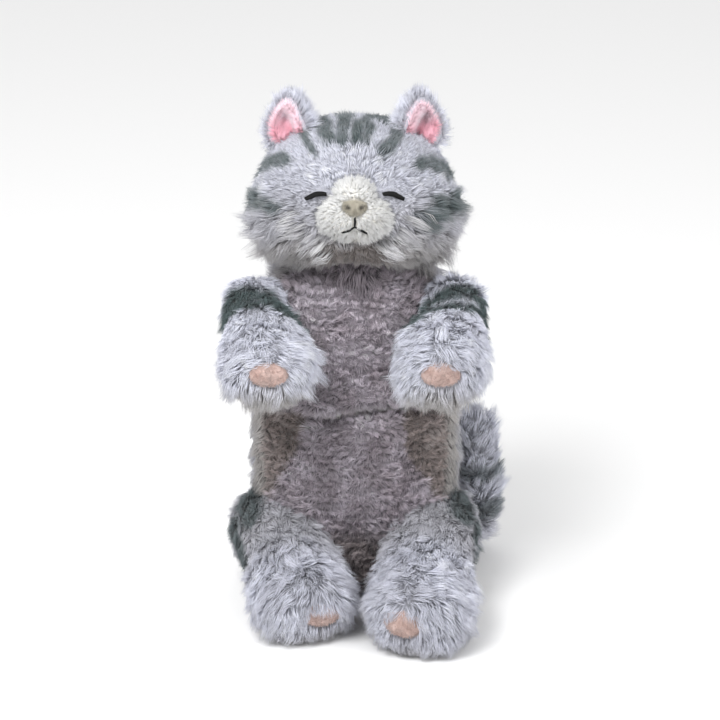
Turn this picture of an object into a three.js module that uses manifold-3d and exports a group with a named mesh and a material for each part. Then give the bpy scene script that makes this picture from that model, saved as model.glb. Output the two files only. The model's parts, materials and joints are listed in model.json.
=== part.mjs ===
// Plush cat, seated, in millimetres. +Z is up, the cat faces -Y and its left side is +X.
// The origin is on the ground under the middle of the seat.
import * as THREE from 'three';
import Module from 'manifold-3d';
import { mergeVertices } from 'three/addons/utils/BufferGeometryUtils.js';

const wasm = await Module();
wasm.setup();

const V = (x, y, z) => new THREE.Vector3(x, y, z);
const UP = V(0, 0, 1);
const DEG = Math.PI / 180;

// ---- sewing ----------------------------------------------------------------------------------
const CLOTH = 2.4; // thickness of a cover with its backing
const GAP = 0.45; // space left between one piece and the next
const SEAM = 0.5; // width of the slit where two panels meet
const SWING_ROOM = 1.2; // space kept around a limb wherever it swings
const FAR = 400; // longer than the whole toy, for half-space cutters
const WELD = 1e-3; // points closer than this are one point

// ---- fineness --------------------------------------------------------------------------------
const AROUND_BODY = 20;
const AROUND_LIMB = 14;
const AROUND_SMALL = 8;

// ---- body ------------------------------------------------------------------------------------
// Each station of the body: height, half width, depth forward, depth back.
const BODY_STATIONS = [
  [0, 38, 26, 36],
  [9, 46, 32, 42],
  [34, 54, 36, 46],
  [66, 58, 42, 46],
  [104, 58, 46, 44],
  [142, 56, 45, 42],
  [173, 53, 42, 39],
  [191, 49, 36, 33],
  [202, 40, 28, 27],
];
const BODY_SQUARENESS = 2.5;
const SEAT_THICKNESS = 3;
const PANEL_SEAM_Y = -24; // the belly panel meets the back panel on this plane
const POUCH = { at: V(0, 4, 25), half: V(24, 20, 14), slitHalf: 10 }; // the slit below it lets it in

// ---- neck and head ---------------------------------------------------------------------------
const NECK = { at: V(0, -8, 204), radius: 24, pocket: 25.4 };
const HEAD = { at: V(0, -12, 252), pitchBack: 20 * DEG, floorZ: 211 };
const HEAD_BACK_SEAM_Y = 6;
// Each station of the head along its own height: height, half width, half depth.
const HEAD_STATIONS = [
  [-41, 34, 26],
  [-34, 49, 37],
  [-20, 57, 44],
  [-4, 58, 46.5],
  [11, 53.5, 45],
  [24, 45, 39.5],
  [34, 32, 30],
  [40.5, 15, 15],
];
const HEAD_SQUARENESS = 2.15;

// ---- face, in the head's own axes ------------------------------------------------------------
const MUZZLE = { at: V(0, -37, -17.5), half: V(22, 19, 14) };
const BRIDGE = { at: V(0, -37, -6), half: V(13, 20, 10.5) };
const NOSE = { at: V(0, -54.5, -11.4), half: V(7, 5.4, 6) };
const THREAD_RADIUS = 0.9;
const EYE = { x: 21, z: -5, halfWidth: 7.6, drop: 3.6, peak: -0.3, steps: 6, thick: 1.2, lift: 0.2 };
const MOUTH = { topZ: -18.6, forkZ: -22.5, tipX: 6.2, tipZ: -25.5, sag: 0.4, steps: 4 };

// ---- ears, in the head's own axes ------------------------------------------------------------
const EAR = {
  at: V(39, -15, 35),
  radius: 15.5,
  depth: 12,
  cloth: 4,
  lining: 2,
  tall: 1.12,
  outward: 38 * DEG,
  tilt: 12 * DEG,
  steps: 6,
};

// ---- arms ------------------------------------------------------------------------------------
const ROOT_INSET = 0.6; // the first ring of a limb lies this far inside its ball
const ARM = { pivot: V(57, -28, 182), root: 18, axis: V(-1, 0, 0), swept: [-8, 2] };
// Each station of an arm: distance sideways, forward and up from the pivot, half width, half height.
const ARM_STATIONS = [
  [-1, 14, -3, 17, 15],
  [-3, 26, -5, 19.5, 16.5],
  [-6, 42, -9, 23.5, 18.5],
  [-8, 56, -12, 24.5, 19],
  [-8.5, 67, -15, 21, 16.5],
  [-8.5, 74, -17, 13, 10.5],
];

// ---- legs ------------------------------------------------------------------------------------
const LEG = { pivot: V(46, -12, 38), root: 27, axis: V(0, 0, 1), swept: [0] };
const LEG_STATIONS = [
  [0, 20, -4, 25.5, 25],
  [-1, 40, -9, 26, 22.5],
  [0, 58, -13, 27.5, 20.5],
  [0, 74, -16, 28, 20],
  [0, 87, -17, 24, 17.5],
  [0, 95, -18, 15, 11],
];
const LEFT_LEG = { swing: 5 * DEG, longer: 14, padInward: 9, padUp: -9, padDrop: 20 * DEG };
const RIGHT_LEG = { swing: 13 * DEG, longer: -4, padInward: 8, padUp: -13, padDrop: 18 * DEG };

// ---- pads ------------------------------------------------------------------------------------
const PAD = { thickness: 1.6, squeeze: 0.72, punch: 60 };
const SEWN_SHARE = 0.4; // how far out of a limb's ball the opening toward the body lies, in radii
const PAW_PAD = { radius: 12.5, drop: 14 * DEG, at: V(-8.3, -56, -4) };
const FOOT_PAD_RADIUS = 12.5;
const PAD_STATION = 4; // a foot pad lies at this station of its leg

// ---- tail ------------------------------------------------------------------------------------
const TAIL_PIVOT = V(24, 42, 26);
const TAIL_POCKET = 11.6;
const TAIL_PATH = [
  V(24, 42, 26), V(37, 53, 17), V(55, 52, 13), V(69, 41, 18), V(74, 31, 36), V(74, 26, 60), V(71, 27, 86),
];
const TAIL_STATIONS = [10, 10, 10, 10.5, 11, 11, 10.5];
const TAIL_STEPS = 12;
const TAIL_REFERENCE = V(0, 1, 0.3); // never along the tail, so its rings don't twist
const TAIL_OPEN_BEHIND = 1; // the cover is open up to this far in front of the pivot

// ---- colours ---------------------------------------------------------------------------------
const cloth = (colour, roughness = 0.95) => ({ color: colour, roughness, metalness: 0 });
const LOOK = {
  lavender: cloth(0xc9cbda),
  grey: cloth(0xa9abb8),
  belly: cloth(0x968e97),
  muzzle: cloth(0xf0eee6),
  nose: cloth(0xb0a39c, 0.8),
  thread: cloth(0x1c1a1e, 0.7),
  pink: cloth(0xf3bcc8),
  pad: cloth(0xd7aa9b),
  wadding: cloth(0xf4f3f0),
  pouch: cloth(0xd8d2c4),
};

// ---- solids ----------------------------------------------------------------------------------

/** A three.js geometry as a solid that can be added, cut and intersected. */
function solid(geometry) {
  const bare = geometry.clone();
  bare.deleteAttribute('normal');
  bare.deleteAttribute('uv');
  const welded = mergeVertices(bare, WELD);
  return new wasm.Manifold(new wasm.Mesh({
    numProp: 3,
    vertProperties: welded.attributes.position.array,
    triVerts: new Uint32Array(welded.index.array),
  }));
}

/** The largest connected body of a solid. */
function wholePiece(shape) {
  return shape.decompose().reduce((a, b) => (a.volume() > b.volume() ? a : b));
}

/** A solid back as a three.js geometry with flat-shaded normals. */
function geometryOf(shape) {
  const mesh = shape.getMesh();
  const geometry = new THREE.BufferGeometry();
  const coordinates = new Float32Array(mesh.vertProperties);
  geometry.setAttribute('position', new THREE.BufferAttribute(coordinates, 3));
  geometry.setIndex(Array.from(mesh.triVerts));
  geometry.computeVertexNormals();
  return geometry;
}

/** Skin through rings of equal count, listed from start to end, closed by a fan at each end. */
function loft(rings) {
  const count = rings[0].length;
  const points = rings.flat();
  const faces = [];
  for (let r = 0; r + 1 < rings.length; r += 1) {
    for (let i = 0; i < count; i += 1) {
      const a = r * count + i;
      const b = r * count + ((i + 1) % count);
      faces.push(a, b, b + count, a, b + count, a + count);
    }
  }
  const middle = (ring) => ring.reduce((sum, p) => sum.add(p), V(0, 0, 0)).divideScalar(count);
  const first = points.push(middle(rings[0])) - 1;
  const last = points.push(middle(rings[rings.length - 1])) - 1;
  const top = (rings.length - 1) * count;
  for (let i = 0; i < count; i += 1) {
    const next = (i + 1) % count;
    faces.push(first, next, i);
    faces.push(last, top + i, top + next);
  }
  const geometry = new THREE.BufferGeometry();
  const coordinates = points.flatMap((p) => p.toArray());
  geometry.setAttribute('position', new THREE.Float32BufferAttribute(coordinates, 3));
  geometry.setIndex(faces);
  return geometry;
}

/** One closed oval ring; side and rise are its half axes, power 2 is an ellipse and more is squarer. */
function oval(centre, side, rise, count, power = 2) {
  const round = (v) => Math.sign(v) * Math.abs(v) ** (2 / power);
  return Array.from({ length: count }, (_, i) => {
    const turn = (2 * Math.PI * i) / count;
    return centre.clone()
      .addScaledVector(side, round(Math.cos(turn)))
      .addScaledVector(rise, round(Math.sin(turn)));
  });
}

/** Body solid, grown outward by `grow` everywhere but at its flat seat unless `seatToo`. */
function bodySolid(grow, seatToo = true) {
  const last = BODY_STATIONS.length - 1;
  return solid(loft(BODY_STATIONS.map(([z, half, front, back], k) => {
    const level = z + (k === last ? grow : 0) - (k === 0 && seatToo ? grow : 0);
    const depth = (front + back) / 2;
    return oval(V(0, (back - front) / 2, level), V(half + grow, 0, 0), V(0, depth + grow, 0),
      AROUND_BODY, BODY_SQUARENESS);
  })));
}

/** Head solid in its own axes, grown outward by `grow`. */
function headSolid(grow) {
  const last = HEAD_STATIONS.length - 1;
  return solid(loft(HEAD_STATIONS.map(([z, half, depth], k) => {
    const level = z + (k === last ? grow : 0) - (k === 0 ? grow : 0);
    return oval(V(0, 0, level), V(half + grow, 0, 0), V(0, depth + grow, 0), AROUND_BODY, HEAD_SQUARENESS);
  })));
}

/** Limb solid: a ball about the pivot that runs on through the stations, each square to the limb. */
function limbSolid(pivot, root, stations, side, grow) {
  const ball = solid(new THREE.SphereGeometry(root + grow, AROUND_LIMB, AROUND_LIMB / 2)
    .translate(pivot.x * side, pivot.y, pivot.z));
  const centres = stations.map(([x, forward, up]) => V(pivot.x + x, pivot.y - forward, pivot.z + up));
  const path = [pivot, ...centres];
  const sizes = [[0, 0, 0, root - ROOT_INSET, root - ROOT_INSET], ...stations];
  const rings = path.map((at, k) => {
    const along = path[Math.min(k + 1, path.length - 1)].clone().sub(path[Math.max(k - 1, 0)]).normalize();
    const across = along.clone().cross(UP).normalize();
    const rise = across.clone().cross(along).normalize();
    const end = k === path.length - 1 ? grow : 0;
    return oval(at.clone().addScaledVector(along, end),
      across.multiplyScalar(sizes[k][3] + grow), rise.multiplyScalar(sizes[k][4] + grow), AROUND_LIMB);
  });
  const limb = solid(loft(rings.map((ring) => ring.reverse())));
  const placed = side < 0 ? limb.mirror([1, 0, 0]) : limb;
  return ball.add(placed);
}

/** Ball solid. */
function ballSolid(centre, radius, count = AROUND_LIMB) {
  return solid(new THREE.SphereGeometry(radius, count, count / 2).translate(centre.x, centre.y, centre.z));
}

/** Egg solid with half axes `half`. */
function eggSolid(centre, half, count = AROUND_LIMB) {
  return solid(new THREE.SphereGeometry(1, count, count / 2)
    .scale(half.x, half.y, half.z).translate(centre.x, centre.y, centre.z));
}

/** Box that fills the space between two corners. */
function boxSolid(low, high) {
  const size = high.clone().sub(low);
  const centre = high.clone().add(low).multiplyScalar(0.5);
  return solid(new THREE.BoxGeometry(size.x, size.y, size.z).translate(centre.x, centre.y, centre.z));
}

/** Round cord swept along a smooth path with ExtrudeGeometry. */
function cordSolid(points, radius, steps, count = AROUND_SMALL) {
  const section = new THREE.Shape(
    Array.from({ length: count }, (_, i) => {
      const turn = (2 * Math.PI * i) / count;
      return new THREE.Vector2(radius * Math.cos(turn), radius * Math.sin(turn));
    }),
  );
  const path = new THREE.CatmullRomCurve3(points);
  return solid(new THREE.ExtrudeGeometry(section, { steps, extrudePath: path, bevelEnabled: false }));
}

const inHead = new THREE.Matrix4().makeRotationX(-HEAD.pitchBack).setPosition(HEAD.at);
/** Takes a solid from the head's own axes to its place on the toy. */
const placeOnHead = (shape) => shape.transform(inHead.elements);

// ---- assembly --------------------------------------------------------------------------------
const toy = new THREE.Group();
toy.name = 'plush_cat';

/** Adds one named piece to the toy. */
function add(name, shape, look) {
  const mesh = new THREE.Mesh(geometryOf(wholePiece(shape)), new THREE.MeshStandardMaterial(look));
  mesh.name = name;
  toy.add(mesh);
}

const SIDES = [['left', 1, LEFT_LEG], ['right', -1, RIGHT_LEG]];

// ---- limb shapes -----------------------------------------------------------------------------

/** Stations of a leg turned about its hip and stretched forward. */
function legStations({ swing, longer }) {
  const length = LEG_STATIONS[LEG_STATIONS.length - 1][1];
  return LEG_STATIONS.map(([x, forward, up, half, high]) => {
    const reach = forward * (1 + longer / length);
    return [x * Math.cos(swing) - reach * Math.sin(swing), reach * Math.cos(swing), up, half, high];
  });
}
const armShape = (side) => (grow) => limbSolid(ARM.pivot, ARM.root, ARM_STATIONS, side, grow);
const legShape = (side, pose) => (grow) => limbSolid(LEG.pivot, LEG.root, legStations(pose), side, grow);
const armPivot = (side) => V(ARM.pivot.x * side, ARM.pivot.y, ARM.pivot.z);
const legPivot = (side) => V(LEG.pivot.x * side, LEG.pivot.y, LEG.pivot.z);

/** Everything a limb passes through as it turns about its pivot, with room around it. */
function sweptSolid(shape, pivot, axis, angles) {
  const grown = shape(SWING_ROOM);
  return angles.map((angle) => {
    const turn = new THREE.Matrix4().makeTranslation(pivot.x, pivot.y, pivot.z)
      .multiply(new THREE.Matrix4().makeRotationAxis(axis, angle * DEG))
      .multiply(new THREE.Matrix4().makeTranslation(-pivot.x, -pivot.y, -pivot.z));
    return grown.transform(turn.elements);
  }).reduce((sum, next) => sum.add(next));
}

// ---- body pieces -----------------------------------------------------------------------------
let pockets = ballSolid(NECK.at, NECK.pocket).add(ballSolid(TAIL_PIVOT, TAIL_POCKET));
for (const [, side, pose] of SIDES) {
  const legAxis = LEG.axis.clone().multiplyScalar(side);
  pockets = pockets
    .add(sweptSolid(armShape(side), armPivot(side), ARM.axis, ARM.swept))
    .add(sweptSolid(legShape(side, pose), legPivot(side), legAxis, LEG.swept));
}
const bodyOuter = bodySolid(0).subtract(pockets);
const bodyInner = bodySolid(-CLOTH);
const aboveSeat = boxSolid(V(-FAR, -FAR, SEAT_THICKNESS + GAP), V(FAR, FAR, FAR));
const bodyShell = bodyOuter.subtract(bodyInner).intersect(aboveSeat);
const front = boxSolid(V(-FAR, -FAR, -FAR), V(FAR, PANEL_SEAM_Y - SEAM / 2, FAR));
const behind = boxSolid(V(-FAR, PANEL_SEAM_Y + SEAM / 2, -FAR), V(FAR, FAR, FAR));
add('belly_panel', bodyShell.intersect(front), LOOK.belly);
add('back_panel', bodyShell.intersect(behind), LOOK.grey);
const belowSeam = boxSolid(V(-FAR, -FAR, -FAR), V(FAR, FAR, SEAT_THICKNESS));
add('seat_panel', bodyOuter.intersect(belowSeam), LOOK.grey);

const slitLow = V(-POUCH.slitHalf, POUCH.at.y - POUCH.slitHalf, 0);
const slitHigh = V(POUCH.slitHalf, POUCH.at.y + POUCH.slitHalf, POUCH.at.z);
const pouchRoom = eggSolid(POUCH.at, POUCH.half.clone().addScalar(GAP * 2)).add(boxSolid(slitLow, slitHigh));
const filled = bodySolid(-CLOTH - GAP).subtract(pockets).intersect(aboveSeat);
add('body_stuffing', filled.subtract(pouchRoom), LOOK.wadding);
add('pellet_pouch', eggSolid(POUCH.at, POUCH.half), LOOK.pouch);

// ---- head pieces -----------------------------------------------------------------------------
add('neck_filling', ballSolid(NECK.at, NECK.radius), LOOK.wadding);

const aboveNeck = boxSolid(V(-FAR, -FAR, HEAD.floorZ), V(FAR, FAR, FAR));
const neckRoom = ballSolid(NECK.at, NECK.pocket);
const onHead = (shape) => placeOnHead(shape).intersect(aboveNeck).subtract(neckRoom);
const headShell = headSolid(0).subtract(headSolid(-CLOTH));
const faceHalf = boxSolid(V(-FAR, -FAR, -FAR), V(FAR, HEAD_BACK_SEAM_Y - SEAM / 2, FAR));
const backHalf = boxSolid(V(-FAR, HEAD_BACK_SEAM_Y + SEAM / 2, -FAR), V(FAR, FAR, FAR));
add('face_panel', onHead(headShell.intersect(faceHalf)), LOOK.lavender);
add('head_back_panel', onHead(headShell.intersect(backHalf)), LOOK.lavender);
add('head_stuffing', onHead(headSolid(-CLOTH - GAP)), LOOK.wadding);

const headClear = headSolid(GAP);
const muzzleSolid = (grow) => [MUZZLE, BRIDGE]
  .map(({ at, half }) => eggSolid(at, half.clone().addScalar(grow), AROUND_BODY))
  .reduce((sum, next) => sum.add(next));
const muzzleClear = muzzleSolid(GAP);
add('muzzle', placeOnHead(muzzleSolid(0).subtract(headClear)), LOOK.muzzle);
add('nose', placeOnHead(eggSolid(NOSE.at, NOSE.half, AROUND_LIMB).subtract(muzzleClear)), LOOK.nose);

/** Front surface of an egg at x, z, pushed out by `lift`. */
function eggFront(egg, x, z, lift) {
  const rest = 1 - ((x - egg.at.x) / egg.half.x) ** 2 - ((z - egg.at.z) / egg.half.z) ** 2;
  return V(x, egg.at.y - egg.half.y * Math.sqrt(rest) - lift, z);
}
const mouthPoint = (x, z) => eggFront(MUZZLE, x, z, THREAD_RADIUS);
const mouthTop = mouthPoint(0, MOUTH.topZ);
const mouthFork = mouthPoint(0, MOUTH.forkZ);
const mouthArm = (side) => [
  mouthFork,
  mouthPoint((side * MOUTH.tipX) / 2, (MOUTH.forkZ + MOUTH.tipZ) / 2 - MOUTH.sag),
  mouthPoint(side * MOUTH.tipX, MOUTH.tipZ),
];
const mouthStem = [mouthTop, mouthPoint(0, (MOUTH.topZ + MOUTH.forkZ) / 2), mouthFork];
const mouth = [mouthStem, mouthArm(1), mouthArm(-1)]
  .map((points) => cordSolid(points, THREAD_RADIUS, MOUTH.steps))
  .reduce((sum, next) => sum.add(next), ballSolid(mouthFork, THREAD_RADIUS, AROUND_SMALL));
add('mouth_stitching', placeOnHead(mouth.subtract(muzzleClear)), LOOK.thread);

/** Where the front of the head is at x, z in its own axes. */
function headFront(x, z, lift) {
  const k = HEAD_STATIONS.findIndex(([level]) => level > z);
  const [z0, half0, depth0] = HEAD_STATIONS[k - 1];
  const [z1, half1, depth1] = HEAD_STATIONS[k];
  const part = (z - z0) / (z1 - z0);
  const half = half0 + part * (half1 - half0);
  const depth = depth0 + part * (depth1 - depth0);
  const rest = 1 - Math.abs(x / half) ** HEAD_SQUARENESS;
  return V(x, -depth * rest ** (1 / HEAD_SQUARENESS) - lift, z);
}
for (const [name, side] of SIDES) {
  const lash = Array.from({ length: EYE.steps + 1 }, (_, i) => {
    const outward = -1 + (2 * i) / EYE.steps;
    const below = EYE.drop * ((outward - EYE.peak) / (1 - EYE.peak)) ** 2;
    return headFront(side * (EYE.x + outward * EYE.halfWidth), EYE.z - below, THREAD_RADIUS + EYE.lift);
  });
  const eye = cordSolid(lash, THREAD_RADIUS * EYE.thick, EYE.steps * 2);
  add(`eye_${name}`, placeOnHead(eye.subtract(headClear).subtract(muzzleClear)), LOOK.thread);
}

/** Cup turned about its own axis, open toward -Y, as tall as `tall` times its width. */
function cupSolid(radius, depth, thickness) {
  const arc = (r, d) => Array.from({ length: EAR.steps + 1 }, (_, i) => {
    const turn = (Math.PI / 2) * (i / EAR.steps);
    return new THREE.Vector2(r * Math.sin(turn), -d * Math.cos(turn));
  });
  const outside = arc(radius, depth);
  const inside = arc(radius - thickness, depth - thickness).reverse();
  outside[0].x = 0;
  inside[EAR.steps].x = 0;
  const cup = new THREE.LatheGeometry([...outside, ...inside], AROUND_LIMB);
  return solid(cup.rotateX(Math.PI).scale(1, 1, EAR.tall));
}
for (const [name, side] of SIDES) {
  const lean = new THREE.Euler(0, side * EAR.tilt, side * EAR.outward);
  const turned = new THREE.Matrix4().makeRotationFromEuler(lean)
    .setPosition(V(EAR.at.x * side, EAR.at.y, EAR.at.z));
  const shell = cupSolid(EAR.radius, EAR.depth, EAR.cloth).transform(turned.elements);
  const innerRadius = EAR.radius - EAR.cloth - GAP;
  const lining = cupSolid(innerRadius, EAR.depth - EAR.cloth - GAP, EAR.lining).transform(turned.elements);
  add(`ear_outer_${name}`, placeOnHead(shell.subtract(headClear)), LOOK.lavender);
  add(`ear_lining_${name}`, placeOnHead(lining.subtract(headClear)), LOOK.pink);
}

// ---- limbs -----------------------------------------------------------------------------------

/** Pad that follows the surface of a limb: an oval patch cut from the limb grown outward. */
function padSolid(limb, at, drop, radius) {
  const turned = new THREE.Matrix4().makeRotationX(drop).setPosition(at);
  const punch = solid(new THREE.CylinderGeometry(radius, radius, PAD.punch, AROUND_LIMB)
    .scale(1, 1, PAD.squeeze).translate(0, -PAD.punch / 2, 0)).transform(turned.elements);
  return limb(GAP + PAD.thickness).intersect(punch).subtract(limb(GAP));
}

/** Cover, stuffing and pad of one limb. The cover is open where it is sewn to the body. */
function addLimb(kind, name, limb, pivot, root, pad) {
  const inward = pivot.x > 0 ? [-FAR, pivot.x - root * SEWN_SHARE] : [pivot.x + root * SEWN_SHARE, FAR];
  const sewnOpen = boxSolid(V(inward[0], pivot.y - root * SEWN_SHARE, -FAR), V(inward[1], FAR, FAR));
  add(`${kind}_cover_${name}`, limb(0).subtract(limb(-CLOTH)).subtract(sewnOpen), LOOK.lavender);
  add(`${kind}_stuffing_${name}`, limb(-CLOTH - GAP), LOOK.wadding);
  add(`${kind}_pad_${name}`, pad, LOOK.pad);
}

for (const [name, side] of SIDES) {
  const arm = armShape(side);
  const padAt = ARM.pivot.clone().add(PAW_PAD.at);
  padAt.x *= side;
  addLimb('arm', name, arm, armPivot(side), ARM.root, padSolid(arm, padAt, PAW_PAD.drop, PAW_PAD.radius));
}

for (const [name, side, pose] of SIDES) {
  const pivot = legPivot(side);
  const leg = legShape(side, pose);
  const [toeX, toeForward] = legStations(pose)[PAD_STATION];
  const padX = side * (LEG.pivot.x + toeX - pose.padInward);
  const padAt = V(padX, LEG.pivot.y - toeForward, LEG.pivot.z + pose.padUp);
  addLimb('leg', name, leg, pivot, LEG.root, padSolid(leg, padAt, pose.padDrop, FOOT_PAD_RADIUS));
}

// ---- tail ------------------------------------------------------------------------------------

/** Tail solid along its path, rounded at the tip, grown outward by `grow`. */
function tailSolid(grow) {
  const curve = new THREE.CatmullRomCurve3(TAIL_PATH);
  const radiusAt = (t) => {
    const place = t * (TAIL_STATIONS.length - 1);
    const k = Math.min(Math.floor(place), TAIL_STATIONS.length - 2);
    return TAIL_STATIONS[k] + (place - k) * (TAIL_STATIONS[k + 1] - TAIL_STATIONS[k]);
  };
  const rings = Array.from({ length: TAIL_STEPS + 1 }, (_, i) => {
    const t = i / TAIL_STEPS;
    const along = curve.getTangent(t);
    const across = along.clone().cross(TAIL_REFERENCE).normalize();
    const rise = across.clone().cross(along).normalize();
    const radius = radiusAt(t) + grow;
    across.multiplyScalar(radius);
    rise.multiplyScalar(radius);
    return oval(curve.getPoint(t), across, rise, AROUND_SMALL).reverse();
  });
  const last = TAIL_PATH.length - 1;
  const tip = ballSolid(TAIL_PATH[last], TAIL_STATIONS[last] + grow, AROUND_SMALL);
  const base = ballSolid(TAIL_PIVOT, TAIL_STATIONS[0] + grow, AROUND_SMALL);
  return solid(loft(rings)).add(tip).add(base);
}
const tailOpenTo = V(TAIL_PIVOT.x + TAIL_STATIONS[0], TAIL_PIVOT.y - TAIL_OPEN_BEHIND, FAR);
const tailSewnOpen = boxSolid(V(-FAR, -FAR, -FAR), tailOpenTo);
add('tail_cover', tailSolid(0).subtract(tailSolid(-CLOTH)).subtract(tailSewnOpen), LOOK.grey);
add('tail_stuffing', tailSolid(-CLOTH - GAP), LOOK.wadding);

export default toy;
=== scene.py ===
import json
import math

import bmesh
import bpy
import numpy as np
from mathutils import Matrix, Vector
from mathutils.bvhtree import BVHTree
from mathutils.kdtree import KDTree


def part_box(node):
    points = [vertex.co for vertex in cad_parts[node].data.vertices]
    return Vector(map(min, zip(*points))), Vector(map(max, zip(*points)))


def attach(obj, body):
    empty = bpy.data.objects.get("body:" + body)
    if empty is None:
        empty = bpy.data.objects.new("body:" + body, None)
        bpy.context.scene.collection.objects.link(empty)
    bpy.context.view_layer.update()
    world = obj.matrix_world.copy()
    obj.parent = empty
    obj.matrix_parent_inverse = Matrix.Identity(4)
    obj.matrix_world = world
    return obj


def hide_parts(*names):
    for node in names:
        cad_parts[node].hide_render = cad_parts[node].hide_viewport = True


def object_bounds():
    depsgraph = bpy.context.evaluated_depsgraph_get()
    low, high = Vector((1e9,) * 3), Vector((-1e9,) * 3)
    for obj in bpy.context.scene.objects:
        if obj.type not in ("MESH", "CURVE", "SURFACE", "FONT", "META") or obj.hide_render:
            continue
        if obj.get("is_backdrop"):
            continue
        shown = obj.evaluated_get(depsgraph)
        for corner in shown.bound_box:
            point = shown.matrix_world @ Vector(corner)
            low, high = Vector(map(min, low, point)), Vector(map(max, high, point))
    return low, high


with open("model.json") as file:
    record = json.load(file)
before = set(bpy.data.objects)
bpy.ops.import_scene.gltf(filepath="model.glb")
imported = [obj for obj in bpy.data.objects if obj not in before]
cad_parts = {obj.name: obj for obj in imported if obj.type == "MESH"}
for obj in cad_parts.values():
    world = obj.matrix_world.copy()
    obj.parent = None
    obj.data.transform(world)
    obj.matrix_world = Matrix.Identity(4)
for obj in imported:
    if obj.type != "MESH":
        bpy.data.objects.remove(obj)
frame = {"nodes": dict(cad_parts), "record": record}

CAD_LOW, CAD_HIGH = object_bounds()
MM = 0.001
UP = np.array([0.0, 0.0, 1.0])
FLOOR_Z = float(CAD_LOW[2])
SIDES = (("left", 1), ("right", -1))
LIMBS = [(kind, side) for side, _ in SIDES for kind in ("arm", "leg")]


# ---- number helpers
def linear(rgb):
    """Linear colour of an sRGB one from 0 to 255."""
    c = np.asarray(rgb, dtype=float) / 255
    return np.where(c <= 0.04045, c / 12.92, ((c + 0.055) / 1.055) ** 2.4)


def mix(a, b, t):
    t = np.clip(np.asarray(t, dtype=float), 0, 1)[..., None]
    return a * (1 - t) + b * t


def smooth(lo, hi, x):
    """0 at lo, 1 at hi and soft between; lo may be the larger."""
    t = np.clip((x - lo) / (hi - lo), 0, 1)
    return t * t * (3 - 2 * t)


def bell(x):
    return np.exp(-(x**2))


def unit(v):
    return v / np.maximum(np.linalg.norm(v, axis=-1, keepdims=True), 1e-12)


def flat_on(v, n):
    """v with its part along n taken off."""
    return v - (v * n).sum(-1, keepdims=True) * n


def ripple(p, size, seed, waves=14, gain=2.2):
    """Smooth noise from -1 to 1 with features of about size metres."""
    rng = np.random.default_rng(seed)
    k = unit(rng.normal(size=(waves, 3))) * rng.uniform(0.7, 1.6, (waves, 1)) * math.pi / size
    phase = rng.uniform(0, 2 * math.pi, waves)
    return np.clip(np.sin(p @ k.T + phase).mean(-1) * gain, -1, 1)


# ---- colours, as seen on the toy
LAVENDER = linear((226, 228, 240))
LAVENDER_SHADE = linear((200, 201, 212))
GREY = linear((188, 187, 193))
UNDER_GREY = linear((176, 171, 166))
TABBY = linear((84, 98, 99))
BELLY = linear((170, 160, 168))
BELLY_TIP = linear((214, 206, 217))
BELLY_LOW = linear((146, 134, 128))
CREAM = linear((255, 255, 253))
CREAM_SHADE = linear((243, 240, 233))
NOSE = linear((170, 164, 150))
PINK = linear((255, 222, 232))
PINK_DEEP = linear((240, 152, 172))
PAD = linear((212, 188, 181))
PAD_DEEP = PAD * np.array([0.92, 0.85, 0.82])
THREAD = linear((9, 9, 10))
WADDING = linear((240, 239, 236))
POUCH = linear((206, 198, 180))
UNDER = 0.62  # the backing cloth is painted this much darker than the pile on it: painted shade deep in the pile


# ---- meshes
def link(name, mesh):
    obj = bpy.data.objects.new(name, mesh)
    bpy.context.scene.collection.objects.link(obj)
    return obj


def add_object(name, verts, tris):
    """A smooth triangle mesh object."""
    mesh = bpy.data.meshes.new(name)
    mesh.vertices.add(len(verts))
    mesh.vertices.foreach_set("co", np.asarray(verts, dtype=np.float32).ravel())
    mesh.loops.add(3 * len(tris))
    mesh.loops.foreach_set("vertex_index", np.asarray(tris, dtype=np.int32).ravel())
    mesh.polygons.add(len(tris))
    mesh.polygons.foreach_set("loop_start", np.arange(0, 3 * len(tris), 3, dtype=np.int32))
    mesh.polygons.foreach_set("use_smooth", np.ones(len(tris), dtype=bool))
    mesh.update(calc_edges=True)
    return link(name, mesh)


def coords(obj):
    v = np.empty(3 * len(obj.data.vertices), dtype=np.float32)
    obj.data.vertices.foreach_get("co", v)
    return v.reshape(-1, 3).astype(float)


def normals(obj):
    n = np.empty(3 * len(obj.data.vertices), dtype=np.float32)
    obj.data.vertices.foreach_get("normal", n)
    return n.reshape(-1, 3).astype(float)


def triangles(obj):
    mesh = obj.data
    mesh.calc_loop_triangles()
    t = np.empty(3 * len(mesh.loop_triangles), dtype=np.int32)
    mesh.loop_triangles.foreach_get("vertices", t)
    return t.reshape(-1, 3)


def set_coords(obj, v):
    obj.data.vertices.foreach_set("co", np.asarray(v, dtype=np.float32).ravel())
    obj.data.update()


def swell(obj, height):
    """Moves every vertex along its normal by height(points, normals)."""
    v, n = coords(obj), normals(obj)
    set_coords(obj, v + n * height(v, n)[:, None])


def lumps(size, high, seed, sink=0.0):
    """Uneven stuffing, for swell."""
    return lambda p, n: ripple(p, size, seed) * high - sink


def cad_points(*nodes):
    return np.concatenate([coords(frame["nodes"][n]) for n in nodes])


def hull(name, points):
    """Convex wrap of points as a new object."""
    bm = bmesh.new()
    for p in points:
        bm.verts.new(p)
    bmesh.ops.convex_hull(bm, input=bm.verts)
    bmesh.ops.delete(bm, geom=[v for v in bm.verts if not v.link_faces], context="VERTS")
    mesh = bpy.data.meshes.new(name)
    bm.to_mesh(mesh)
    bm.free()
    return link(name, mesh)


def cad_copy(name, node):
    obj = link(name, frame["nodes"][node].data.copy())
    obj.data.materials.clear()
    return obj


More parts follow.
